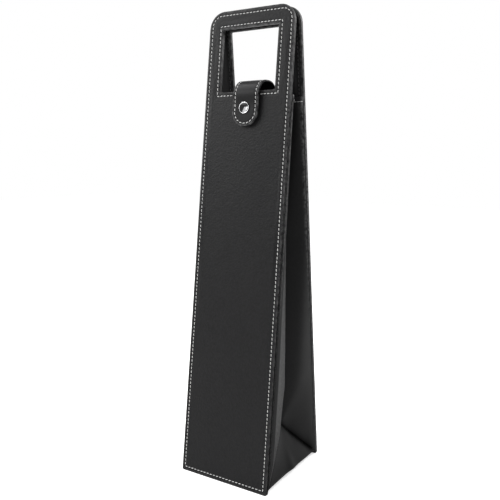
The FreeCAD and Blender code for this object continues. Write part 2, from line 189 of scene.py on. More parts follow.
class GussetSizes(bpy.types.PropertyGroup):
    """Sizes of the folded side walls."""
    foot: length("Foot", "Height of the walls' lower edge", 0.0043)
    mouth: length("Mouth", "Height of the walls' upper edge", 0.3934)
    fold_height: length("Fold height", "Height of the point where the folds meet", 0.051)
    fold_in: length("Fold depth", "How far that point lies inside the panels' edges", 0.0165)
    mouth_in: length("Mouth fold depth", "How far the middle fold lies inside at the mouth", 0.0362)
    shoulder_height: length("Shoulder height", "Height of the walls' shoulders", 0.1)
    shoulder_in: length("Shoulder depth", "How far a shoulder lies inside the panels' edges", 0.0036)
    shoulder_back: length("Shoulder reach", "How far a shoulder lies behind its panel", 0.0284)
    knee_in: length("Knee depth", "How far a front wall's fold lies inside level with the fold point",
                    0.0023)
    knee_back: length("Knee reach", "How far that fold lies behind its panel there", 0.0205)
    roll: length("Roll", "How far a wall runs back from its panel before it folds in", 0.005)
    roll_out: length("Roll swell", "How far the roll swells out from the panel's edge", 0.0009)
    mouth_roll: length("Mouth roll", "How far a wall runs back before it folds in at the mouth", 0.003)
    roll_top: length("Roll height", "Height at which the shoulder's fold meets the roll", 0.255)
    crease: length("Crease", "Softness of the front walls' folds beside the roll", 0.00012)
    rear_crease: length("Rear crease", "Softness of the rear walls' folds beside the roll", 0.003)
    fold: length("Fold", "Softness of the front walls' shoulders", 0.0005)
    rear_fold: length("Rear fold", "Softness of the rear walls' shoulders", 0.004)
    valley: length("Valley", "How much deeper the lower folds are drawn in", 0.002)
    over: length("Valley above", "Height over which the walls fall back from the lower folds", 0.011)
    under: length("Valley below", "Height over which the feet fall back from the lower folds", 0.006)
    fold_line: length("Fold line", "Height over which the lower rear folds lie in shade", 0.003)
    leaf_in: length("Leaf edge", "How far the foot leaf's lower edge is drawn in", 0.0006)
    leaf_hollow: length("Leaf hollow", "How far the foot leaf hollows", 0.0012)
    leaf_crease: length("Leaf crease", "How far the foot leaf's short crease stands out", 0.0009)
    leaf_lift: length("Leaf lift", "How far the foot leaf's lower edge is lifted", 0.0007)
    # Reach of the painted highlight along a wall's panel edge
    rub_and_highlight: length("Rub", "How far the wear reaches from the panel", 0.003)
    softness: length("Softness", "Unevenness of the soft walls", 0.0004)
    dip: length("Dip", "How much lower the middle fold ends at the mouth", 0.0025)
    hem: length("Hem", "Height of the turned hem at the mouth", 0.0065)
    cloth: length("Cloth", "Thickness of the walls", 0.0008)


class StrapSizes(bpy.types.PropertyGroup):
    """Sizes of the strap and its press stud."""
    width: length("Width", "Width of the strap", 0.0294)
    offset: length("Offset", "How far the strap lies off the middle", 0.0019)
    snap_offset: length("Press stud offset", "How far the press stud lies off the middle", 0.0011)
    leather: length("Leather", "Thickness of the outer layer", 0.0009)
    lining: length("Lining", "Thickness of the under layer", 0.0007)
    standoff: length("Standoff", "Gap from the front panel to the strap", 0.0025)
    rest: length("Rest", "Gap from the back panel to the strap", 0.0004)
    bend: length("Bend", "Radius of the bends on the underside", 0.015)
    tongue: length("Tongue", "How far the tongue reaches below the cut-out", 0.0353)
    tail: length("Tail", "How far the tail reaches below the cut-out", 0.034)
    crown: length("Crown", "Swell of the strap's middle over its edges", 0.0001)
    snap_drop: length("Press stud drop", "From the cut-out's edge to the press stud", 0.0173)
    cap: length("Cap", "Radius of the press stud's cap", 0.0057)
    arch_drop: length("Arch drop", "How far the soft arch lies below the stiff one", 0.0006)
    swell: length("Swell", "How far the strap swells out below its arch", 0.0006)
    swell_run: length("Swell length", "Length over which that swell falls off", 0.006)
    tail_corner: length("Tail corner", "Radius of the tail's two corners", 0.002)
    groove: length("Groove", "Depth to which the seam pulls the strap in", 0.0002)
    groove_half: length("Groove side", "From the middle of that groove to its side", 0.0009)
    # Reach of the upper layer's paler edges
    rub_and_highlight: length("Rub", "How far the wear reaches from an edge", 0.0009)
    ledge: length("Ledge", "How far the lower layer stands out past the upper one", 0.0004)
    dimple: length("Dimple", "How far the press stud pulls the strap in", 0.0003)
    dimple_reach: length("Dimple reach", "How far from the press stud that pull reaches", 0.0085)


class Finishes(bpy.types.PropertyGroup):
    """Colours and gloss of the materials."""
    leather: colour("Leather", "Colour of the panels' leather", (0.0118, 0.0118, 0.0123))
    strap: colour("Strap", "Colour of the strap's leather", (0.0065, 0.0065, 0.0069))
    gusset: colour("Gusset", "Colour of the soft side walls", (0.007, 0.007, 0.0073))
    lining: colour("Lining", "Colour of the inner layers", (0.004, 0.004, 0.0042))
    thread: colour("Thread", "Colour of the seams' thread", (0.72, 0.72, 0.71))
    dark_thread: colour("Under thread", "Colour of the thread inside", (0.006, 0.006, 0.0064))
    board: colour("Board", "Colour of the stiffening boards", (0.35, 0.33, 0.30))
    chrome: colour("Chrome", "Colour of the press stud's cap", (0.66, 0.66, 0.67))
    # Colour of the painted dark reflection in the cap's dish
    painted_dish_reflection: colour("Recess", "Colour of the cap's dark dish", (0.09, 0.09, 0.092))
    steel: colour("Steel", "Colour of the press stud's inner pieces", (0.55, 0.55, 0.56))
    gloss: portion("Leather roughness", "Roughness of the panels' leather", 0.43)


class StageSettings(bpy.types.PropertyGroup):
    """Floor, light and camera."""
    floor: colour("Floor", "Colour of the floor", (0.72, 0.72, 0.72))
    glow: brightness("Glow", "White that the floor adds where it is seen", 0.6)
    ambient: brightness("Ambient", "Strength of the light from all sides", 0.62)
    room: brightness("Room", "Brightness of the room in front, in reflections", 0.35)
    key: wattage("Key", "Power of the large soft lamp", 39.0)
    side: wattage("Side", "Power of the soft lamp on the right", 9.2)
    left: wattage("Left", "Power of the small lamp on the left", 7.0)
    top: wattage("Top", "Power of the soft lamp above on the left", 24.0)
    eye: bpy.props.FloatVectorProperty(name="Camera", description="Place of the camera", size=3,
                                       default=(0.3452, -0.5572, 0.3294), subtype="TRANSLATION")
    heading: turning("Heading", "Camera's turn from straight ahead", math.radians(32.1))
    tilt: turning("Tilt", "Camera's tilt below level", math.radians(8.117))
    roll: turning("Roll", "Camera's turn about its own line", math.radians(0.402))
    lens: bpy.props.FloatProperty(name="Lens", description="Focal length in millimetres", default=45.057,
                                  unit="CAMERA")


# Shapes

def unit(vectors):
    """Vectors cut to a length of one."""
    return vectors / np.linalg.norm(vectors, axis=-1, keepdims=True)


def running_length(points):
    """Length of a line of points from its start up to each of them."""
    return np.concatenate([[0.0], np.cumsum(np.linalg.norm(np.diff(points, axis=0), axis=1))])


def read_line(distance, run, values):
    """Values along a line, at distances of its running length."""
    return np.stack([np.interp(distance, run, column) for column in values.T], axis=-1)


def smooth_step(value, low, high):
    """Rise from nothing to one between two values, level at both ends."""
    step = np.clip((value - low) / (high - low), 0, 1)
    return step * step * (3 - 2 * step)


def waves(across, along):
    """Soft unevenness from minus one to one: three slow sine waves that cross at odd angles."""
    first = np.sin(61 * across + 23 * along + 0.6)
    second = np.sin(-83 * across + 41 * along + 2.1)
    third = np.sin(37 * across - 67 * along + 4.0)
    return (first + second + third) / 3


def rim_rows(radius, level, sense, count=6):
    """Quarter circle, as inset and height, from a layer's rear face at a level out to its side."""
    turn = np.linspace(0, math.pi / 2, count)
    return np.stack([radius * (1 - np.sin(turn)), level + sense * radius * (1 - np.cos(turn))], axis=1)


def turned_rows(radius, level, sense, count=6):
    """Quarter circle, as inset and height, from a layer's side over to its face at a level."""
    turn = np.linspace(0, math.pi / 2, count)
    return np.stack([radius * (1 - np.cos(turn)), level - sense * radius * (1 - np.sin(turn))], axis=1)


def slope_place(side, across, along, out):
    """Points on a leaning panel from across its width, along its slope and out from its outer face.

    The slope rises by its cosine and leans in by its sine; the back panel is the front one turned
    half round the upright axis.
    """
    sizes = bpy.context.scene.carrier_panel
    rise, run = math.cos(sizes.lean), math.sin(sizes.lean)
    turn = SIDES[side]
    depth = -sizes.foot_depth / 2 + along * run - out * rise
    height = along * rise + out * run
    return np.stack(np.broadcast_arrays(turn * across, turn * depth, height), axis=-1)


def slope_normal(side):
    """Outward direction of a panel's outer face."""
    return slope_place(side, 0.0, 0.0, 1.0) - slope_place(side, 0.0, 0.0, 0.0)


def panel_length():
    """Length of a panel along its slope."""
    sizes = bpy.context.scene.carrier_panel
    return sizes.top / math.cos(sizes.lean)


def half_width(along):
    """Half the panel's width, which shrinks evenly from its foot to its top."""
    sizes = bpy.context.scene.carrier_panel
    return (sizes.foot_width - (sizes.foot_width - sizes.top_width) * along / panel_length()) / 2


def panel_corners():
    """Corners of a panel from its left foot round, and their radii."""
    sizes = bpy.context.scene.carrier_panel
    low, high, top = half_width(0.0), half_width(panel_length()), panel_length()
    return (((-low, 0.0), (low, 0.0), (high, top), (-high, top)),
            (sizes.foot_corner, sizes.foot_corner, sizes.corner, sizes.corner))


def seam_corners():
    """Corners of a panel's outer seam from its left foot round, and their radii."""
    seams = bpy.context.scene.carrier_seam
    low, high = half_width(0.0), half_width(panel_length())
    top, foot = panel_length() - seams.top_margin, seams.foot_margin
    return (((seams.margin - low, foot), (low - seams.right_low, foot), (high - seams.right_margin, top),
             (seams.margin - high, top)),
            (seams.foot_corner, seams.foot_corner, seams.corner, seams.corner))


def window_low():
    """Place along the slope of the handle cut-out's lower edge."""
    sizes = bpy.context.scene.carrier_panel
    return panel_length() - sizes.handle_bar - sizes.window_height


def window_corners(side):
    """Corners of a panel's handle cut-out from its lower left round; both cut-outs stand in line."""
    sizes = bpy.context.scene.carrier_panel
    low, high = window_low(), window_low() + sizes.window_height
    middle = SIDES[side] * sizes.window_shift
    left, right = middle - sizes.window_width / 2, middle + sizes.window_width / 2
    return (left, low), (right, low), (right, high), (left, high)


def window_seam(side):
    """Corners of the seam round a handle cut-out from its lower left round, and their radii."""
    seams = bpy.context.scene.carrier_seam
    first, second, third, fourth = np.array(window_corners(side))
    left, right = seams.window_left, seams.window_right
    if side == "back":
        left, right = right, left
    foot, top = seams.window_foot, seams.window_margin
    return ((first - [left, foot], second + [right, -foot], third + [right, top], fourth + [-left, top]),
            (seams.window_corner,) * 4)


def rounded_loop(corners, radii, inset, runs, arc=9):
    """Closed loop inside a polygon: every side moved in by the inset, every corner an arc.

    A corner's centre lies on its bisector where both sides are inset plus radius away, and the
    radius shrinks by the inset, so loops at several insets run side by side.
    """
    corners = np.asarray(corners, float)
    ahead = unit(np.roll(corners, -1, axis=0) - corners)
    inward = np.stack([-ahead[:, 1], ahead[:, 0]], axis=1)
    before = np.roll(inward, 1, axis=0)
    meet = (before * inward).sum(axis=1)
    turn = np.arctan2(before[:, 0] * inward[:, 1] - before[:, 1] * inward[:, 0], meet)
    radius = np.maximum(np.asarray(radii, float) - inset, LEAST_RADIUS)
    centre = corners + (before + inward) * ((inset + radius) / (1 + meet))[:, None]
    start = np.arctan2(-before[:, 1], -before[:, 0])
    bearing = start[:, None] + turn[:, None] * np.linspace(0, 1, arc)
    arcs = centre[:, None] + radius[:, None, None] * np.stack([np.cos(bearing), np.sin(bearing)], axis=-1)
    parts = []
    for index, count in enumerate(runs):
        step = np.linspace(0, 1, count + 2)[1:-1, None]
        leave, reach = arcs[index, -1], arcs[(index + 1) % len(runs), 0]
        parts += [arcs[index], leave + (reach - leave) * step]
    return np.concatenate(parts)


def border_rows(face, rear, inset, groove_at, notch):
    """Rows across a turned edge, as inset, height and painted shade: rear rim, notched side, edge, seam,
    face.

    Both edges are quarter circles, and the notch and the sewn groove are one wave of a cosine each.
    """
    sizes = bpy.context.scene.carrier_panel
    sense = 1.0 if face > rear else -1.0
    rim = rim_rows(sizes.rim, rear, sense)
    place = face - sense * (sizes.notch_at - sizes.notch_width / 2 * WAVE)
    side = np.stack([notch * BELL, np.clip(place, *sorted((rim[-1, 1], face)))], axis=1)
    turned = turned_rows(sizes.edge, face, sense)
    dip = np.stack([groove_at - inset + sizes.groove_half * WAVE,
                    face - sense * sizes.groove * BELL], axis=1)
    rows = np.concatenate([[(sizes.lap, rear)], rim, side, turned, dip, [(sizes.border - inset, face)]])
    shade = np.zeros(len(rows))
    # Painted shade fills the notch
    shade[1 + len(rim):1 + len(rim) + len(side)] = BELL ** 0.3 * (notch > 0)
    return np.concatenate([rows, shade[:, None]], axis=1)


def panel_skin(side, face, rear, inset, low, notch=0.0):
    """Skin of a panel layer from its rim over its face to the rim of the cut-out.

    One parameter runs round the panel and the other across it: first the outer edge's rows at their
    insets, which slide over to the seam's own outline, then rows shared out evenly between the two
    seams, then the cut-out's rows let out from it. Returns the points and two values for the finish:
    paleness of the rubbed edges with a painted highlight, which falls off from the edges and grows
    towards the top as painted light from above, and painted shade, which fills the notch and fades
    there, weaker towards the top. The notch all but closes above the walls.
    """
    sizes, seams = bpy.context.scene.carrier_panel, bpy.context.scene.carrier_seam
    outer = border_rows(face, rear, inset, seams.margin, notch)
    inner = border_rows(face, rear, inset, seams.window_margin, 0.0)[::-1]

    def slid(edge, seam, seam_at, row, way):
        share = smooth_step(row, sizes.edge, seam_at - sizes.groove_half - inset)
        return (rounded_loop(*edge, way * (inset + row), PANEL_RUNS) * (1 - share)
                + rounded_loop(*seam, way * (inset + row - seam_at), PANEL_RUNS) * share)

    window = window_corners(side), (sizes.window_corner,) * 4
    rim = slid(panel_corners(), seam_corners(), seams.margin, 0.0, 1.0)
    sewn = smooth_step(rim[:, 1], sizes.notch_top - sizes.notch_fade, sizes.notch_top)
    tight = sizes.notch_tight * sewn[:, None]
    loops = [slid(panel_corners(), seam_corners(), seams.margin, row, 1.0) for row in outer[:, 0]]
    loops = [loop + (rim - loop) * tight * (row > 0) for loop, row in zip(loops, outer[:, 2])]
    last = [slid(window, window_seam(side), seams.window_margin, row, -1.0) for row in inner[:, 0]]
    shares = np.linspace(0, 1, PANEL_ROWS + 2)[1:-1]
    field = loops[-1] + (last[0] - loops[-1]) * shares[:, None, None]
    plan = np.concatenate([np.array(loops), field, np.array(last)])
    out = np.concatenate([outer[:, 1], np.full(len(shares), face), inner[:, 1]])[:, None]
    soft = np.concatenate([0 * outer[:, 0], np.sin(math.pi * shares) ** 0.5, 0 * inner[:, 0]])[:, None]
    across, along = plan[..., 0], plan[..., 1]
    out = out + soft * sizes.waviness * waves(across, along)
    along = np.maximum(along, (low - out * math.sin(sizes.lean)) / math.cos(sizes.lean))
    bare = np.zeros(len(shares))
    # Paleness of rubbed edges with a painted highlight, and painted shade in the notch; painted light
    # from above makes the edges paler and the shade weaker towards the top
    wear_and_painted_light = np.exp(-(np.concatenate([outer[:, 0], bare + sizes.border, inner[:, 0]]) / sizes.rub_and_highlight) ** 2)
    shade = np.concatenate([outer[:, 2], bare, inner[:, 2]])
    top_light = TOP_LIGHT_SHARE * smooth_step(rim[:, 1], *TOP_LIGHT_SPAN)
    marks = {"wear_and_painted_light": wear_and_painted_light[:, None] * (1 - TOP_LIGHT_SHARE + top_light),
             "shade": shade[:, None] * (1 - tight[:, 0]) * (1 - top_light)}
    return slope_place(side, across, along, out), marks


def grid_faces(rows, columns, closed, flip=False):
    """Quads of a grid of points, joined across its last column where it is closed."""
    index = np.arange(rows * columns).reshape(rows, columns)
    if closed:
        index = np.concatenate([index, index[:, :1]], axis=1)
    quads = np.stack([index[:-1, :-1], index[:-1, 1:], index[1:, 1:], index[1:, :-1]], axis=-1)
    return quads.reshape(-1, 4)[:, ::-1] if flip else quads.reshape(-1, 4)


def join_points(mesh, distance):
    """Close poles and seams by merging points that lie together."""
    work = bmesh.new()
    work.from_mesh(mesh)
    bmesh.ops.remove_doubles(work, verts=work.verts, dist=distance)
    work.to_mesh(mesh)
    work.free()


def new_piece(name, points, faces, material, marks=(), merge=0.0):
    """Smooth mesh object at the origin from whole arrays of points, faces and values at the points."""
    mesh = bpy.data.meshes.new(name)
    mesh.from_pydata(points.reshape(-1, 3).tolist(), [], [list(map(int, face)) for face in faces])
    for mark, values in dict(marks).items():
        mesh.attributes.new(mark, "FLOAT", "POINT").data.foreach_set(
            "value", np.ascontiguousarray(values, np.float32).ravel())
    mesh.polygons.foreach_set("use_smooth", np.ones(len(mesh.polygons), bool))
    mesh.materials.append(material)
    piece = bpy.data.objects.new(name, mesh)
    bpy.context.scene.collection.objects.link(piece)
    if merge:
        join_points(mesh, merge)
    mesh.validate()
    mesh.update()
    return piece


def even_places(path, pitch, closed):
    """Distances of evenly spread stitches along a path, with the path's own running length."""
    whole = np.concatenate([path, path[:1]]) if closed else path
    run = running_length(whole)
    count = max(1, int(round(run[-1] / pitch)))
    return whole, run, (np.arange(count) + 0.5) * run[-1] / count


def stitches(name, lines, material, pitch):
    """Short bent lengths of thread along paths: a flattened six-sided tube that dips at its ends.

    Along a stitch, a from minus one to one, the radius is the thread's times the root of one minus a to
    the sixth, and the ends sink by a to the fourth; the run is slanted a little to one side.
    """
    seams = bpy.context.scene.carrier_seam
    half = seams.stitch / 2
    along = np.linspace(-1, 1, 7)[:, None]
    around = np.linspace(0, 2 * math.pi, 6, endpoint=False)
    swell = seams.thread * np.sqrt(np.clip(1 - along ** 6, THREAD_TIP, 1))
    forward = half * along + 0 * around
    sideways = swell * np.cos(around) + seams.slant * half * along
    height = seams.thread * (THREAD_LIFT - THREAD_SINK * along ** 4)
    upward = THREAD_FLAT * swell * np.sin(around) + height
    points = []
    for path, normal, closed in lines:
        whole, run, places = even_places(path, pitch, closed)
        up = np.concatenate([normal, normal[:1]]) if closed else normal
        centre, lift = read_line(places, run, whole), unit(read_line(places, run, up))
        reach, leave = np.clip(places + half, 0, run[-1]), np.clip(places - half, 0, run[-1])
        ahead = unit(read_line(reach, run, whole) - read_line(leave, run, whole))
        beside = np.cross(lift, ahead)
        points.append(centre[:, None, None] + ahead[:, None, None] * forward[..., None]
                      + beside[:, None, None] * sideways[..., None]
                      + lift[:, None, None] * upward[..., None])
    points = np.concatenate(points)
    count, rings, sides = points.shape[:3]
    tube = grid_faces(rings, sides, True)
    first, last = np.arange(sides)[::-1], np.arange(sides) + (rings - 1) * sides
    start = np.arange(count)[:, None, None] * rings * sides
    faces = (start + tube).reshape(-1, 4).tolist()
    faces += (start[:, 0] + first).tolist() + (start[:, 0] + last).tolist()
    return new_piece(name, points, faces, material)


def seam_profile(sizes):
    """Section of a gusset's seam allowance, as distance in from the edge and out from the face.

    An L: a thin leaf between the layers and a rounded lip turned over the inner layer's edge.
    """
    lip, leaf = sizes.lining_inset, sizes.seam_leaf
    radius, thick = 0.7 * lip, 0.9 * lip
    deep, start = GAP - sizes.stack, -sizes.cover - GAP / 2
    tail = [(lip, deep), (lip, start - thick), (leaf, start - thick), (leaf, start)]
    return np.concatenate([turned_rows(radius, deep, -1, 5)[::-1], tail, rim_rows(radius, start, -1, 5)])


def wall_edge(side, hand, height):
    """Points at heights above the floor along the inner edge of a panel, where a gusset wall starts."""
    panel = bpy.context.scene.carrier_panel
    out = 3 * GAP - panel.stack
    along = (height - out * math.sin(panel.lean)) / math.cos(panel.lean)
    across = half_width(along) - panel.lining_inset / 2
    return slope_place(side, hand * SIDES[side] * across, along, out)


def wall_corners(side, hand):
    """Four corners of a gusset wall: foot and mouth at its panel, fold point and mouth at the middle."""
    gusset = bpy.context.scene.carrier_gusset
    foot, level, mouth = wall_edge(side, hand, np.array([gusset.foot, gusset.fold_height, gusset.mouth]))
    fold = np.array([level[0] - hand * gusset.fold_in, 0.0, gusset.fold_height])
    middle = np.array([mouth[0] - hand * gusset.mouth_in, 0.0, gusset.mouth - gusset.dip])
    return foot, fold, middle, mouth


def fold_away(points):
    """Height away from the lower folds, and the share of the way from a foot's corner to the middle.

    A lower fold's height runs evenly from the foot's corner to the fold point in the middle. The
    distance is that of a hyperbola, so it has no kink on the fold.
    """
    gusset = bpy.context.scene.carrier_gusset
    corner = abs(wall_edge("front", 1, gusset.foot)[1])
    share = 1 - np.clip(np.abs(points[..., 1]) / corner, 0, 1)
    level = gusset.foot + (gusset.fold_height - gusset.foot) * share
    return np.hypot(points[..., 2] - level, FOLD_BLUNT) - FOLD_BLUNT, share


def valley_depth(points, fall):
    """How much deeper a gusset lies near its lower rear fold, falling off with the height away from it.

    It fades in on the way from the foot's corner and out again ahead of the middle fold.
    """
    away, share = fold_away(points)
    ends = smooth_step(share, 0.0, 0.3) * smooth_step(points[..., 1], 0.001, 0.016)
    return bpy.context.scene.carrier_gusset.valley * ends * np.exp(-away / fall)


def cloth_marks(points):
    """Values of a gusset for its finish: painted shade along its lower rear fold, and a painted
    highlight along its panel.

    The shade falls off with the height away from the fold and starts past the foot's corner. The
    highlight is a bell curve of the distance from the panel, and grows with the height.
    """
    gusset = bpy.context.scene.carrier_gusset
    away, share = fold_away(points)
    ends = smooth_step(share, 0.0, 0.15) * smooth_step(points[..., 1], -0.001, 0.003)
    beside = np.linalg.norm(points - points[:, :1], axis=-1)
    return {"shade": FOLD_SHADE * ends * np.exp(-away / gusset.fold_line),
            "wear_and_painted_light": np.exp(-(beside / gusset.rub_and_highlight) ** 2) * smooth_step(points[..., 2], 0.12, 0.3)}


def fold_depth(side, height, back, reach, fold_reach):
    """How far a wall lies inside its panel's edge, at heights and at distances back from the panel.

    At every height the wall swells out along its roll, then runs in to the shoulder's fold and then to
    its end at the middle fold or a lower one, so its depth is the rounded maximum of those three lines.
    The shoulder's fold starts at the foot's corner, rises to the knee on the front walls and to the fold
    point on the rear ones, comes out again to the shoulder and ends where it meets the roll. The
    rounding grows from the fold point up, and what it adds at the panel is taken off again.
    """
    gusset = bpy.context.scene.carrier_gusset
    heights = (gusset.foot, gusset.fold_height, gusset.shoulder_height, gusset.roll_top, gusset.mouth)
    if side == "front":
        knee_back, knee_in = gusset.knee_back, gusset.knee_in
        crease, fold, roll_out = gusset.crease, gusset.fold, gusset.roll_out
    else:
        knee_back, knee_in = fold_reach, gusset.fold_in
        crease, fold, roll_out = gusset.rear_crease, gusset.rear_fold, 0.0
    roll = np.interp(height, (gusset.foot, gusset.fold_height / 2, gusset.roll_top, gusset.mouth),
                     (LEAST_FOLD, gusset.roll, gusset.roll, gusset.mouth_roll))
    fold_back = np.interp(height, heights, (0.0, knee_back, gusset.shoulder_back, gusset.roll,
                                            gusset.mouth_roll))
    fold_in = np.interp(height, heights, (0.0, knee_in, gusset.shoulder_in, 0.0, 0.0))
    rise = np.clip((height - gusset.foot) / (gusset.fold_height - gusset.foot), 0, 1)
    end_back = np.where(rise < 1, fold_reach * rise, reach)
    end_in = np.interp(height, (gusset.foot, gusset.fold_height, gusset.mouth),
                       (0.0, gusset.fold_in, gusset.mouth_in))
    swell = np.interp(height, heights, (0.0, 1.0, 1.0, 0.0, 0.0)) * roll_out
    fold = 2 * LEAST_FOLD + fold * smooth_step(height, gusset.fold_height, gusset.shoulder_height)

    def rounded(place):
        facet = (fold_in + swell) * (place - roll) / np.maximum(fold_back - roll, LEAST_FOLD) - swell
        rest = end_back - fold_back
        inner = end_in - (end_in - fold_in) * (end_back - place) / np.maximum(rest, LEAST_FOLD / 10)
        inner = np.where(rest > LEAST_FOLD, inner, -1.0)
        beside = crease * np.logaddexp(-swell * place / roll / crease, facet / crease)
        return fold * np.logaddexp(beside / fold, inner / fold)

    return rounded(back) - rounded(0.0) * np.clip(1 - back / reach, 0, 1)


def wall_grid(side, hand):
    """Soft wall of a gusset, spread evenly between its four corners and then set to its folded depth.

    Across runs from the panel to the middle fold, up from the lower fold to the hem; the rows crowd
    towards the foot and at the hem's step. The wall is a little uneven, and the hem stands out by part
    of a thickness.
    """
    gusset = bpy.context.scene.carrier_gusset
    foot, fold, middle, mouth = wall_corners(side, hand)
    hem = 1 - gusset.hem / (gusset.mouth - gusset.foot)
    up = np.concatenate([np.linspace(0, 1, 96)[:-1] ** 1.3 * (hem - 0.002), [hem, hem + 0.0006],
                         np.linspace(hem + 0.0012, 1, HEM_ROWS)])[:, None]
    across = np.linspace(0, 1, 61)[None, :]
    low = foot + (fold - foot) * across[..., None]
    high = mouth + (middle - mouth) * across[..., None]
    points = low + (high - low) * up[..., None]
    edge = wall_edge(side, hand, points[..., 2])
    reach, back = np.abs(edge[..., 1]), np.abs(points[..., 1] - edge[..., 1])
    fold_reach = abs(wall_edge(side, hand, gusset.fold_height)[1])
    depth = fold_depth(side, points[..., 2], back, reach, fold_reach)
    depth += valley_depth(points, gusset.over)
    uneven = waves(points[..., 1] * 1.3, points[..., 2] * 0.75 + 0.11 * hand)
    bow = np.sin(math.pi * across)
    held = bow * np.sin(math.pi * np.clip(up, 0, 1)) ** 0.5
    hemmed = 0.7 * gusset.cloth * smooth_step(up, hem - 0.001, hem + 0.0008) * bow ** 0.25
    points[..., 0] = edge[..., 0] + hand * (gusset.softness * uneven * held + hemmed - depth)
    return points


def foot_grid(hand):
    """Foot of a gusset: a three-cornered leaf from the base's edge up to the fold point.

    One parameter runs along the base's edge, the other from it to the point. The edge is drawn in by
    half a sine wave, and lifted a little, most in its front half. The leaf hollows by a product of two
    sine waves, and a short crease stands out of its middle as a bell curve.
    """
    gusset = bpy.context.scene.carrier_gusset
    front, fold = wall_corners("front", hand)[:2]
    back = wall_corners("back", hand)[0]
    along = np.linspace(0, 1, 41)[None, :]
    up = np.linspace(0, 1, 27)[:, None]
    edge = front + (back - front) * along[..., None]
    points = edge + (fold - edge) * up[..., None]
    bow = np.sin(math.pi * along)
    crease = np.exp(-((along - 0.5) / 0.07) ** 2 - (up / 0.3) ** 2)
    inward = bow * (gusset.leaf_in * (1 - up) + gusset.leaf_hollow * np.sin(math.pi * up))
    inward += valley_depth(points, gusset.under) - gusset.leaf_crease * crease
    points[..., 0] -= hand * inward
    points[..., 2] += gusset.leaf_lift * np.cos(math.pi * along / 2) * bow ** 0.5 * (1 - up)
    return points


def strap_line():
    """Underside of the strap from the tongue's tip over the arch to its tail.

    Two straight runs along the panels and a level one, joined by arcs of the bend's radius; a bell curve
    swells the front one out below its arc. Returns the running length, the points and the directions
    out.
    """
    panel, strap = bpy.context.scene.carrier_panel, bpy.context.scene.carrier_strap
    under = STRAP_TOP - strap.arch_drop - strap.leather - strap.lining
    tip = slope_place("front", 0.0, window_low() - strap.tongue, strap.standoff)
    tail = slope_place("back", 0.0, window_low() - strap.tail, strap.rest)
    level, upright = np.array([0.0, 1.0, 0.0]), np.array([0.0, 0.0, 1.0])
    lean = level * math.sin(panel.lean) + upright * math.cos(panel.lean)
    lean_back = lean * [0, -1, 1]
    front = tip + lean * (under - tip[2]) / lean[2]
    back = tail + lean_back * (under - tail[2]) / lean[2]
    spread = math.pi / 2 - panel.lean
    cut = strap.bend * math.tan(spread / 2)
    turn = np.linspace(0, spread, 40)[1:-1, None]
    leave, land = front - lean * cut, back - lean_back * cut
    out_front = slope_normal("front")
    climb = leave + strap.bend * (out_front * (np.cos(turn) - 1) + lean * np.sin(turn))
    reach, start = front + level * cut, back - level * cut
    drop = start + strap.bend * (level * np.sin(turn) + upright * (np.cos(turn) - 1))
    straight = np.linspace(0, 1, 30)[:, None]
    points = np.concatenate([tip + (leave - tip) * straight, climb, reach + (start - reach) * straight,
                             drop, land + (tail - land) * straight])
    run = running_length(points)
    bulge = np.exp(-((run - np.linalg.norm(leave - tip)) / strap.swell_run) ** 2)
    points += out_front * strap.swell * bulge[:, None]
    along = np.gradient(points, run, axis=0)
    return run, points, unit(np.cross(np.array([1.0, 0.0, 0.0]), along))


def strap_place(across, along, height):
    """Points on the strap from across it, along its underside and out from that."""
    run, points, outward = strap_line()
    lift = read_line(along, run, outward)
    base = read_line(along, run, points) + lift * np.asarray(height)[..., None]
    base[..., 0] += across + bpy.context.scene.carrier_strap.offset
    return base, lift


def strap_loop(inset):
    """Loop on the strap at an inset: a round tip, two long sides and a square tail with soft corners."""
    strap = bpy.context.scene.carrier_strap
    half, whole = strap.width / 2, strap_line()[0][-1]
    corners = ((-half, 0.0), (half, 0.0), (half, whole), (-half, whole))
    radii = (TIP_ROUND * strap.width,) * 2 + (strap.tail_corner,) * 2
    return rounded_loop(corners, radii, inset, STRAP_RUNS, 15)


def strap_layer(low, high, sewn):
    """One layer of the strap as a closed skin, from its underside's middle line to its upper side's.

    Its edges are rounded by quarter circles, its upper side is crowned, sewn along its edge and pulled
    in round the press stud by a bell curve. The rows end a hair's breadth short of the middle line, where
    they are merged.
    """
    strap, seams = bpy.context.scene.carrier_strap, bpy.context.scene.carrier_seam
    edge, half, short = 0.42 * (high - low), strap.width / 2, 1e-6
    under = [(half - short, low), (0.6 * half, low), (2.5 * edge, low)]
    below, above = rim_rows(edge, low, 1), turned_rows(edge, high, 1)
    dip = np.stack([seams.strap_margin + strap.groove_half * WAVE,
                    high - strap.groove * sewn * BELL], axis=1)
    rise = np.linspace(0.3, 1, 9)
    over = np.stack([half * rise - short, high + strap.crown * sewn * np.sin(math.pi * rise / 2)], axis=1)
    rows = np.concatenate([under, below, above, dip, over])
    plan = np.array([strap_loop(row) for row in rows[:, 0] - strap.ledge * (1 - sewn)])
    across, along = plan[..., 0], plan[..., 1]
    snap = strap.tongue - strap.snap_drop
    pull = strap.dimple * np.exp(-(across ** 2 + (along - snap) ** 2) / strap.dimple_reach ** 2)
    top = (np.arange(len(rows)) >= len(under) + len(below))[:, None]
    points = strap_place(across, along, rows[:, 1][:, None] - pull * top * sewn)[0]
    # Upper layer paler towards its edges
    wear_and_painted_light = np.exp(-(rows[:, :1] / strap.rub_and_highlight) ** 2) * top
    return points, np.broadcast_to(wear_and_painted_light, across.shape)


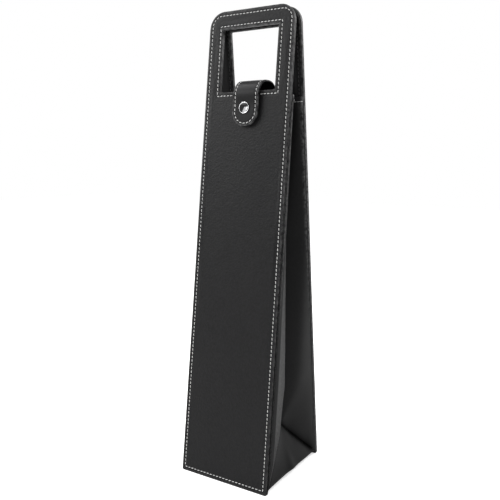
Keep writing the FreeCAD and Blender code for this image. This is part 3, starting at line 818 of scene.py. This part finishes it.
def cap_profile(radius):
    """Half section of the cap, as radius and height: a rolled rim round a shallow dish.

    The rim is most of a circle and the dish falls from it along a parabola.
    """
    rim, middle, hollow = 0.062 * radius, 0.00075, 0.00096
    turn = np.linspace(-0.55 * math.pi, 0.72 * math.pi, 18)
    ring = np.stack([radius - rim + rim * np.cos(turn), middle + 1.05 * rim * np.sin(turn)], axis=1)
    fall = np.linspace(1, 0, 14)[1:]
    inner, level = ring[-1]
    dish = np.stack([inner * fall, level - hollow * (1 - fall ** 2)], axis=1)
    return np.concatenate([[(0.7 * radius, -2 * GAP)], ring, dish])


# Finishes

def new_group(name, inputs, outputs):
    """Empty shader node group: the group, the sockets that it is given and the node for its results."""
    group = bpy.data.node_groups.new(name, "ShaderNodeTree")
    for socket, kind, default in inputs:
        made = group.interface.new_socket(socket, in_out="INPUT", socket_type=kind)
        if default is not None:
            made.default_value = default
    for socket in outputs:
        group.interface.new_socket(socket, in_out="OUTPUT", socket_type="NodeSocketFloat")
    return group, group.nodes.new("NodeGroupInput").outputs, group.nodes.new("NodeGroupOutput")


def feed(tree, node, **values):
    """Set a node's inputs, by name or by number after a letter, to values or linked to sockets."""
    for key, value in values.items():
        socket = node.inputs[int(key[1:])] if key[1:].isdigit() else node.inputs[key.replace("_", " ")]
        if isinstance(value, bpy.types.NodeSocket):
            tree.links.new(value, socket)
        else:
            socket.default_value = value


def add(tree, kind, **values):
    """New node with its settings and its inputs."""
    node = tree.nodes.new(kind)
    for key, value in values.items():
        if hasattr(node, key):
            setattr(node, key, value)
        else:
            feed(tree, node, **{key: value})
    return node


def calculate(tree, operation, *values):
    """Result of a sum of numbers and sockets."""
    given = {f"i{index}": value for index, value in enumerate(values)}
    return add(tree, "ShaderNodeMath", operation=operation, **given).outputs[0]


def noise(tree, place, scale, detail, **settings):
    """Soft noise at a place, so many times to the metre."""
    made = add(tree, "ShaderNodeTexNoise", Vector=place, Scale=scale, Detail=detail, **settings)
    return made.outputs["Fac"]


def grain_group():
    """Pebbled leather: cells for the grain, finer noise over them, mottled gloss, and drifting tone."""
    if "LeatherGrain" in bpy.data.node_groups:
        return bpy.data.node_groups["LeatherGrain"]
    group, given, result = new_group(
        "LeatherGrain",
        [("Vector", "NodeSocketVector", None), ("Grain", "NodeSocketFloat", 1200.0),
         ("Cell depth", "NodeSocketFloat", 0.7)],
        ("Height", "Tone", "Gloss"))
    place = given["Vector"]
    warp = add(group, "ShaderNodeTexNoise", Vector=place, Scale=420.0, Detail=2.0)
    bent = add(group, "ShaderNodeVectorMath", operation="MULTIPLY_ADD", i0=warp.outputs["Color"],
               i1=(0.0011, 0.0011, 0.0011), i2=place)
    cells = add(group, "ShaderNodeTexVoronoi", feature="SMOOTH_F1", Vector=bent.outputs[0],
                Scale=given["Grain"], Smoothness=0.6)
    deep = calculate(group, "MULTIPLY", cells.outputs["Distance"], given["Cell depth"])
    height = calculate(group, "MULTIPLY_ADD", noise(group, place, 5200.0, 3.0), 0.3, deep)
    patch = noise(group, place, 380.0, 2.0)
    drift = calculate(group, "MULTIPLY", noise(group, place, 17.0, 4.0, Roughness=0.6), 0.35)
    tone = calculate(group, "MULTIPLY_ADD", patch, 0.65, drift)
    feed(group, result, Height=height, Tone=tone, Gloss=patch)
    return group


def edge_rub_and_highlight_group():
    """Rubbed edges with a painted highlight: the edge value broken up by noise into a mask."""
    if "EdgeRubAndHighlight" in bpy.data.node_groups:
        return bpy.data.node_groups["EdgeRubAndHighlight"]
    group, given, result = new_group(
        "EdgeRubAndHighlight", [("Vector", "NodeSocketVector", None), ("Edge", "NodeSocketFloat", 0.0)], ("Mask",))
    spread = add(group, "ShaderNodeMapRange", Value=noise(group, given["Vector"], 260.0, 4.0),
                 From_Min=0.35, From_Max=0.7)
    feed(group, result, Mask=calculate(group, "MULTIPLY", spread.outputs[0], given["Edge"]))
    return group


def fibre_group():
    """Fibres: noise drawn out along one direction, for thread, board and brushed metal."""
    if "Fibres" in bpy.data.node_groups:
        return bpy.data.node_groups["Fibres"]
    group, given, result = new_group(
        "Fibres",
        [("Vector", "NodeSocketVector", None), ("Stretch", "NodeSocketVector", (1.0, 1.0, 1.0)),
         ("Fineness", "NodeSocketFloat", 900.0)],
        ("Height", "Tone"))
    drawn = add(group, "ShaderNodeVectorMath", operation="MULTIPLY", i0=given["Vector"],
                i1=given["Stretch"])
    lines = noise(group, drawn.outputs[0], given["Fineness"], 4.0, Distortion=0.4)
    feed(group, result, Height=lines, Tone=noise(group, given["Vector"], 60.0, 3.0))
    return group


def new_material(name):
    """Material with its shader, and a place to read the piece's own coordinates."""
    material = bpy.data.materials.new(name)
    material.use_nodes = True
    tree = material.node_tree
    tree.nodes.clear()
    shader = add(tree, "ShaderNodeBsdfPrincipled")
    add(tree, "ShaderNodeOutputMaterial", Surface=shader.outputs[0])
    where = add(tree, "ShaderNodeTexCoord")
    return material, tree, shader, where.outputs["Object"]


def bump(tree, shader, height, weight, distance):
    """Relief of a surface from a height."""
    relief = add(tree, "ShaderNodeBump", Strength=weight, Distance=distance, Height=height)
    feed(tree, shader, Normal=relief.outputs[0])


def span(tree, value, low, high):
    """Carry a value from nothing to one over to a range."""
    return add(tree, "ShaderNodeMapRange", Value=value, To_Min=low, To_Max=high).outputs[0]


def blend_colours(tree, share, first, second):
    """Mix of two colours, plain ones or sockets, by the second one's share."""
    ends = [end if isinstance(end, bpy.types.NodeSocket) else (*end, 1.0) for end in (first, second)]
    return add(tree, "ShaderNodeMix", data_type="RGBA", i0=share, i6=ends[0], i7=ends[1]).outputs[2]


def toned(base, share):
    """A colour made darker or paler."""
    return [min(1.0, share * part) for part in base]


def leather_finish(name, base, roughness, grain, relief, specular, rub_and_highlight, shaded=False):
    """Coated leather: grained, slightly uneven in tone and gloss, a little paler at its edges, where
    rubbing and a painted highlight lie.

    A shaded one turns black and dull with the painted shade value of its pieces.
    """
    if name in bpy.data.materials:
        return bpy.data.materials[name]
    material, tree, shader, where = new_material(name)
    skin = add(tree, "ShaderNodeGroup", node_tree=grain_group(), Vector=where, Grain=grain).outputs
    edge = add(tree, "ShaderNodeAttribute", attribute_name="wear_and_painted_light").outputs["Fac"]
    rub_and_highlight_mask = add(tree, "ShaderNodeGroup", node_tree=edge_rub_and_highlight_group(), Vector=where, Edge=edge).outputs["Mask"]
    tone = blend_colours(tree, skin["Tone"], toned(base, 0.5), toned(base, 1.5))
    # Paler edges: rubbing and a painted highlight
    pale_rub_and_highlight = [0.12 + part for part in base]
    tone = blend_colours(tree, calculate(tree, "MULTIPLY", rub_and_highlight_mask, rub_and_highlight), tone, pale_rub_and_highlight)
    # Painted shade: black and without gloss in the notch and along the lower folds
    if shaded:
        deep = add(tree, "ShaderNodeAttribute", attribute_name="shade").outputs["Fac"]
        tone = blend_colours(tree, deep, tone, (0.0005, 0.0005, 0.0005))
        specular = span(tree, deep, specular, 0.0)
    gloss = span(tree, skin["Gloss"], roughness - 0.12, roughness + 0.12)
    feed(tree, shader, Base_Color=tone, Roughness=gloss, Specular_IOR_Level=specular)
    bump(tree, shader, skin["Height"], 0.35, relief)
    return material


def thread_finish(name, base):
    """Waxed thread: fine fibres, a soft sheen and a slight change of tone."""
    if name in bpy.data.materials:
        return bpy.data.materials[name]
    material, tree, shader, where = new_material(name)
    strands = add(tree, "ShaderNodeGroup", node_tree=fibre_group(), Vector=where, Fineness=3200.0).outputs
    tone = blend_colours(tree, strands["Tone"], toned(base, 0.82), toned(base, 1.1))
    gloss = span(tree, strands["Height"], 0.5, 0.75)
    feed(tree, shader, Base_Color=tone, Roughness=gloss, Sheen_Weight=0.15)
    bump(tree, shader, strands["Height"], 0.5, 0.00012)
    return material


def board_finish(name, base):
    """Grey board: matted fibres and flecks."""
    if name in bpy.data.materials:
        return bpy.data.materials[name]
    material, tree, shader, where = new_material(name)
    pulp = add(tree, "ShaderNodeGroup", node_tree=fibre_group(), Vector=where,
               Stretch=(1.0, 1.0, 0.25)).outputs
    tone = blend_colours(tree, pulp["Height"], toned(base, 0.7), toned(base, 1.2))
    feed(tree, shader, Base_Color=tone, Roughness=span(tree, pulp["Tone"], 0.8, 0.95))
    bump(tree, shader, pulp["Height"], 0.4, 0.0002)
    return material


def metal_finish(name, base, roughness, painted_dish_reflection=None):
    """Plated metal: faint brushing and smears, with a painted dark reflection in the dish where one is
    asked for.
    """
    if name in bpy.data.materials:
        return bpy.data.materials[name]
    material, tree, shader, where = new_material(name)
    brushed = add(tree, "ShaderNodeGroup", node_tree=fibre_group(), Vector=where,
                  Stretch=(1.0, 1.0, 0.15)).outputs
    tone = blend_colours(tree, brushed["Tone"], toned(base, 0.92), base)
    if painted_dish_reflection is not None:
        # Painted dark reflection in the dish
        dish = add(tree, "ShaderNodeAttribute", attribute_name="wear_and_painted_light")
        tone = blend_colours(tree, dish.outputs["Fac"], tone, painted_dish_reflection)
    gloss = span(tree, brushed["Height"], roughness * 0.8, roughness * 1.3)
    feed(tree, shader, Base_Color=tone, Roughness=gloss, Metallic=1.0)
    bump(tree, shader, brushed["Height"], 0.08, 0.00004)
    return material


def panel_leather():
    """Pebbled leather of the panels and the base."""
    finish = bpy.context.scene.carrier_finish
    return leather_finish("PanelLeather", finish.leather, roughness=finish.gloss, grain=520.0,
                          relief=0.0009, specular=0.11, rub_and_highlight=1.0, shaded=True)


def lining_leather():
    """Dull, fine leather of the inner layers."""
    finish = bpy.context.scene.carrier_finish
    return leather_finish("LiningLeather", finish.lining, roughness=0.55, grain=1400.0, relief=0.00005,
                          specular=0.08, rub_and_highlight=0.5)


def gusset_leather():
    """Soft, fine leather of the side walls."""
    finish = bpy.context.scene.carrier_finish
    return leather_finish("GussetLeather", finish.gusset, roughness=0.4, grain=1300.0, relief=0.00006,
                          specular=0.11, rub_and_highlight=1.0, shaded=True)


def strap_leather():
    """Smooth leather of the strap."""
    finish = bpy.context.scene.carrier_finish
    return leather_finish("StrapLeather", finish.strap, roughness=0.4, grain=900.0, relief=0.00004,
                          specular=0.11, rub_and_highlight=0.9)


def seam_thread():
    """Pale thread of the seams that show."""
    return thread_finish("SeamThread", bpy.context.scene.carrier_finish.thread)


# Light and camera

def aim(place, ahead, up):
    """Matrix of a lamp or camera at a place, looking ahead, with its top turned up."""
    ahead = unit(np.asarray(ahead, float))
    right = unit(np.cross(ahead, up))
    columns = np.stack([right, np.cross(right, ahead), -ahead, np.asarray(place, float)], axis=1)
    return Matrix(np.vstack([columns, [0, 0, 0, 1]]).tolist())


def soft_lamp(name, watts, place, target, size):
    """Square lamp turned to a target."""
    lamp = bpy.data.lights.new(name, "AREA")
    lamp.shape = "SQUARE"
    lamp.size = size
    lamp.energy = watts
    holder = bpy.data.objects.new(name, lamp)
    bpy.context.scene.collection.objects.link(holder)
    holder.matrix_world = aim(place, np.subtract(target, place), (0.0, 0.0, 1.0))


def seen_rays(tree, mirrored):
    """One for rays from the camera or through glass, a share of it off a gloss, nothing for the rest."""
    ray = add(tree, "ShaderNodeLightPath").outputs
    gloss = calculate(tree, "MULTIPLY", ray["Is Glossy Ray"], mirrored)
    shown = calculate(tree, "MAXIMUM", ray["Is Camera Ray"], gloss)
    return calculate(tree, "MAXIMUM", shown, ray["Is Transmission Ray"])


def white_world(stage):
    """Even light from all sides, shown as white to the camera and through glass.

    Reflections show the same white behind the carrier, and a dimmer room in front of it.
    """
    world = bpy.data.worlds.new("WhiteRoom")
    world.use_nodes = True
    tree = world.node_tree
    tree.nodes.clear()
    ray = add(tree, "ShaderNodeLightPath").outputs
    way = add(tree, "ShaderNodeTexCoord").outputs["Generated"]
    behind = add(tree, "ShaderNodeVectorMath", operation="DOT_PRODUCT", i0=way, i1=(-0.3, 0.954, 0.0))
    room = add(tree, "ShaderNodeMapRange", interpolation_type="SMOOTHSTEP", Value=behind.outputs["Value"],
               From_Min=0.6, From_Max=0.86, To_Min=stage.room, To_Max=1.0)
    seen = calculate(tree, "MAXIMUM", ray["Is Camera Ray"], ray["Is Transmission Ray"])
    gloss = add(tree, "ShaderNodeMix", i0=ray["Is Glossy Ray"], i2=stage.ambient, i3=room.outputs[0])
    light = add(tree, "ShaderNodeMix", i0=seen, i2=gloss.outputs[0], i3=1.0)
    back = add(tree, "ShaderNodeBackground", Color=(1.0, 1.0, 1.0, 1.0), Strength=light.outputs[0])
    add(tree, "ShaderNodeOutputWorld", Surface=back.outputs[0])
    bpy.context.scene.world = world


def place_camera(stage):
    """Camera from its place, heading, tilt and roll."""
    ahead = np.array([-math.sin(stage.heading) * math.cos(stage.tilt),
                      math.cos(stage.heading) * math.cos(stage.tilt), -math.sin(stage.tilt)])
    right = unit(np.cross(ahead, (0.0, 0.0, 1.0)))
    up = math.cos(stage.roll) * np.cross(right, ahead) - math.sin(stage.roll) * right
    data = bpy.data.cameras.new("camera")
    data.lens = stage.lens
    data.sensor_width = 36.0
    camera = bpy.data.objects.new("camera", data)
    bpy.context.scene.collection.objects.link(camera)
    camera.matrix_world = aim(stage.eye, ahead, up)
    bpy.context.scene.camera = camera


# Pieces

def thicken(piece, thickness):
    """Give a sheet its thickness on the side away from its outer face."""
    wall = piece.modifiers.new("Thickness", "SOLIDIFY")
    wall.thickness = thickness
    wall.offset = -1.0


def dress(node, material):
    """Give a node of the frame its material."""
    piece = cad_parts[node]
    piece.data.materials.clear()
    piece.data.materials.append(material)


class CARRIER_OT_panels(bpy.types.Operator):
    """Leather covers and inner layers of both panels, drawn over the boards"""
    bl_idname = "carrier.panels"
    bl_label = "Panels"

    def execute(self, context):
        sizes = context.scene.carrier_panel
        for side in SIDES:
            notch = sizes.notch if side == "front" else 0.0
            points, marks = panel_skin(side, 0.0, -sizes.cover, 0.0, 0.0, notch)
            rows = grid_faces(*points.shape[:2], True)
            skin = new_piece(side + "_cover_skin", points, rows, panel_leather(), marks)
            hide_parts(side + "_cover")
            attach(skin, side + "_panel")
            points, marks = panel_skin(side, -sizes.stack, -sizes.cover - GAP, sizes.lining_inset,
                                       sizes.lining_low)
            inside = new_piece(side + "_lining_skin", points, rows[:, ::-1], lining_leather(), marks)
            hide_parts(side + "_lining")
            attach(inside, side + "_panel")
        return {"FINISHED"}


class CARRIER_OT_seam_strips(bpy.types.Operator):
    """Seam allowances of the gussets, turned over the inner layers' edges"""
    bl_idname = "carrier.seam_strips"
    bl_label = "Seam strips"

    def execute(self, context):
        sizes, gusset = context.scene.carrier_panel, context.scene.carrier_gusset
        profile = seam_profile(sizes)
        low, high = gusset.foot + 6 * GAP, (gusset.mouth + 4 * GAP) / math.cos(sizes.lean)
        along = np.linspace(low, high, 60)[:, None]
        for side in SIDES:
            for word, hand in HANDS.items():
                turn = hand * SIDES[side]
                across = turn * (half_width(along) - GAP - profile[:, 0])
                points = slope_place(side, across, along, profile[:, 1][None, :])
                faces = grid_faces(*across.shape, True, turn < 0).tolist()
                first = np.arange(len(profile))
                last = first + across.size - len(profile)
                faces += [first[::-turn].tolist(), last[::turn].tolist()]
                strip = new_piece(f"{side}_{word}_seam_strip", points, faces, gusset_leather())
                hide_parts(f"{side}_{word}_seam")
                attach(strip, side + "_panel")
        return {"FINISHED"}


class CARRIER_OT_gussets(bpy.types.Operator):
    """Soft side walls that fold inwards, with their feet and sewn hems"""
    bl_idname = "carrier.gussets"
    bl_label = "Gussets"

    def execute(self, context):
        sizes, gusset = context.scene.carrier_panel, context.scene.carrier_gusset
        for word, hand in HANDS.items():
            for side in SIDES:
                points = wall_grid(side, hand)
                flip = (hand > 0) == (side == "back")
                faces = grid_faces(*points.shape[:2], False, flip)
                wall = new_piece(f"{word}_{side}_wall", points, faces, gusset_leather(),
                                 cloth_marks(points))
                thicken(wall, gusset.cloth)
                sewn = points[:, HEM_START[side]:]
                hem = sewn[-HEM_ROWS] + (sewn[-1] - sewn[-HEM_ROWS]) * HEM_SEAM
                line = stitches(f"{word}_{side}_hem_stitches",
                                [(hem, np.tile([float(hand), 0.0, 0.0], (len(hem), 1)), False)],
                                seam_thread(), context.scene.carrier_seam.hem_pitch)
                start = slope_place(side, 0.0, 0.0, -sizes.stack)
                for piece in (wall, line):
                    start - 0.0098 * slope_normal(side)
                    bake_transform(piece)
                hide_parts(word + "_gusset")
            points = foot_grid(hand)
            leaf = new_piece(word + "_foot_leaf", points, grid_faces(*points.shape[:2], False, hand < 0),
                             gusset_leather(), cloth_marks(points), merge=1e-6)
            thicken(leaf, gusset.cloth)
            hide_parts(word + "_gusset")
            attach(leaf, "base")
            front, fold = wall_corners("front", hand)[:2]
        return {"FINISHED"}


class CARRIER_OT_strap(bpy.types.Operator):
    """Strap of two layers that runs from the back panel over the arch to the press stud"""
    bl_idname = "carrier.strap"
    bl_label = "Strap"

    def execute(self, context):
        strap, seams = context.scene.carrier_strap, context.scene.carrier_seam
        thickness = strap.lining + strap.leather

        def layer(name, low, high, sewn):
            points, wear_and_painted_light = strap_layer(low, high, sewn)
            return new_piece(name, points, grid_faces(*wear_and_painted_light.shape, True), strap_leather(), {"wear_and_painted_light": wear_and_painted_light},
                             merge=3e-6)

        upper = layer("strap_upper", strap.lining + GAP / 2, thickness, 1.0)
        under = layer("strap_under", 0.0, strap.lining - 0.3 * GAP, 0.0)
        loop = strap_loop(seams.strap_margin)
        path, lift = strap_place(loop[:, 0], loop[:, 1], np.full(len(loop), thickness - GAP))
        line = stitches("strap_stitches", [(path, lift, True)], seam_thread(), seams.pitch)
        for piece in (upper, under, line):
            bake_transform(piece)
        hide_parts("strap_tongue_leather", "strap_bridge_leather")
        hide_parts("strap_tongue_lining", "strap_bridge_lining")
        return {"FINISHED"}


class CARRIER_OT_press_stud(bpy.types.Operator):
    """Plated cap on the strap, and the metal of the pieces under it"""
    bl_idname = "carrier.press_stud"
    bl_label = "Press stud"

    def execute(self, context):
        strap, finish = context.scene.carrier_strap, context.scene.carrier_finish
        profile = cap_profile(strap.cap)
        turn = np.linspace(0, 2 * math.pi, 72, endpoint=False)
        height = strap.standoff + strap.lining + strap.leather - 2 * GAP
        across = strap.snap_offset + profile[:, :1] * np.cos(turn)
        along = window_low() - strap.snap_drop + profile[:, :1] * np.sin(turn)
        points = slope_place("front", across, along, height + profile[:, 1:] + 0 * across)
        # Painted dark reflection: the cap's dish is dark inside its rim
        dark = 1 - smooth_step(profile[:, :1], *np.multiply(DISH_EDGE, strap.cap))
        cap = new_piece("snap_cap_plated", points, grid_faces(*across.shape, True),
                        metal_finish("CapChrome", finish.chrome, roughness=0.1, painted_dish_reflection=finish.painted_dish_reflection),
                        {"wear_and_painted_light": np.broadcast_to(dark, across.shape)}, merge=1e-6)
        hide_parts("snap_cap")
        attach(cap, "strap")
        for node in ("snap_socket", "snap_stud", "snap_post"):
            dress(node, metal_finish("StudSteel", finish.steel, roughness=0.3))
        return {"FINISHED"}


class CARRIER_OT_stitches(bpy.types.Operator):
    """Contrast stitching round both panels and their cut-outs, and the dark thread inside"""
    bl_idname = "carrier.stitches"
    bl_label = "Stitches"

    def execute(self, context):
        sizes, seams = context.scene.carrier_panel, context.scene.carrier_seam
        dark = thread_finish("UnderThread", context.scene.carrier_finish.dark_thread)
        sunk = 0.6 * sizes.groove
        edge = rounded_loop(*seam_corners(), 0.0, SEAM_RUNS, 17)
        for side in SIDES:
            window = rounded_loop(*window_seam(side), 0.0, SEAM_RUNS, 7)
            for word, out, sense, material in (("seam", -sunk, 1.0, seam_thread()),
                                               ("under", sunk - sizes.stack, -1.0, dark)):
                lines = [(slope_place(side, loop[:, 0], loop[:, 1], out),
                          np.tile(sense * slope_normal(side), (len(loop), 1)), True)
                         for loop in (edge, window)]
                line = stitches(f"{side}_{word}_stitches", lines, material, seams.pitch)
                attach(line, side + "_panel")
        return {"FINISHED"}


class CARRIER_OT_base(bpy.types.Operator):
    """Finish of the base's layers and of the boards inside the panels"""
    bl_idname = "carrier.base"
    bl_label = "Base and boards"

    def execute(self, context):
        finish = context.scene.carrier_finish
        for node in ("front_board", "back_board", "base_board"):
            dress(node, board_finish("GreyBoard", finish.board))
        dress("base_cover", panel_leather())
        dress("base_lining", lining_leather())
        return {"FINISHED"}


class CARRIER_OT_stage(bpy.types.Operator):
    """Pale floor, soft light and camera"""
    bl_idname = "carrier.stage"
    bl_label = "Stage"

    def execute(self, context):
        stage = context.scene.carrier_stage
        side = np.linspace(-4, 4, 9)
        floor = np.stack(np.broadcast_arrays(side, side[:, None], 0.0), axis=-1)
        material, tree, shader, where = new_material("PaleFloor")
        tone = blend_colours(tree, noise(tree, where, 3.0, 2.0), toned(stage.floor, 0.985), stage.floor)
        shown = calculate(tree, "MULTIPLY", seen_rays(tree, 0.4), stage.glow)
        feed(tree, shader, Base_Color=tone, Roughness=0.9, Specular_IOR_Level=0.0,
             Emission_Color=(1.0, 1.0, 1.0, 1.0), Emission_Strength=shown)
        new_piece("floor", floor, grid_faces(len(side), len(side), False), material)
        soft_lamp("key_lamp", stage.key, place=(-1.5, -1.35, 1.4), target=(0.0, 0.0, 0.3), size=1.4)
        soft_lamp("side_lamp", stage.side, place=(0.55, 0.85, 0.95), target=(0.05, 0.0, 0.45), size=0.5)
        soft_lamp("left_lamp", stage.left, place=(-1.6, -0.9, 0.9), target=(0.0, 0.0, 0.38), size=0.6)
        soft_lamp("top_lamp", stage.top, place=(-1.0, 0.05, 1.75), target=(0.0, 0.0, 0.4), size=1.1)
        white_world(stage)
        place_camera(stage)
        context.scene.view_settings.view_transform = "Standard"
        return {"FINISHED"}


SETTINGS = {"carrier_panel": PanelSizes, "carrier_seam": SeamSizes, "carrier_gusset": GussetSizes,
            "carrier_strap": StrapSizes, "carrier_finish": Finishes, "carrier_stage": StageSettings}
PIECES = (CARRIER_OT_panels, CARRIER_OT_seam_strips, CARRIER_OT_gussets, CARRIER_OT_strap,
          CARRIER_OT_press_stud, CARRIER_OT_stitches, CARRIER_OT_base, CARRIER_OT_stage)


class CARRIER_PT_tools(bpy.types.Panel):
    """Pieces of the carrier and their settings"""
    bl_idname = "CARRIER_PT_tools"
    bl_label = "Bottle carrier"
    bl_space_type = "VIEW_3D"
    bl_region_type = "UI"
    bl_category = "Carrier"

    def draw(self, context):
        for piece in PIECES:
            self.layout.operator(piece.bl_idname)
        for name, kind in SETTINGS.items():
            box = self.layout.box()
            for key in kind.__annotations__:
                box.prop(getattr(context.scene, name), key)


def register():
    """Add the settings, the operators and the panel."""
    for name, kind in SETTINGS.items():
        bpy.utils.register_class(kind)
        setattr(bpy.types.Scene, name, bpy.props.PointerProperty(type=kind))
    for kind in (*PIECES, CARRIER_PT_tools):
        bpy.utils.register_class(kind)


def unregister():
    """Take them away again, last ones first."""
    for kind in (CARRIER_PT_tools, *reversed(PIECES)):
        bpy.utils.unregister_class(kind)
    for name, kind in reversed(SETTINGS.items()):
        delattr(bpy.types.Scene, name)
        bpy.utils.unregister_class(kind)


def main():
    """Build every piece and the stage."""
    register()
    bpy.ops.carrier.panels()
    bpy.ops.carrier.seam_strips()
    bpy.ops.carrier.gussets()
    bpy.ops.carrier.strap()
    bpy.ops.carrier.press_stud()
    bpy.ops.carrier.stitches()
    bpy.ops.carrier.base()
    bpy.ops.carrier.stage()


if __name__ == "__main__":
    main()
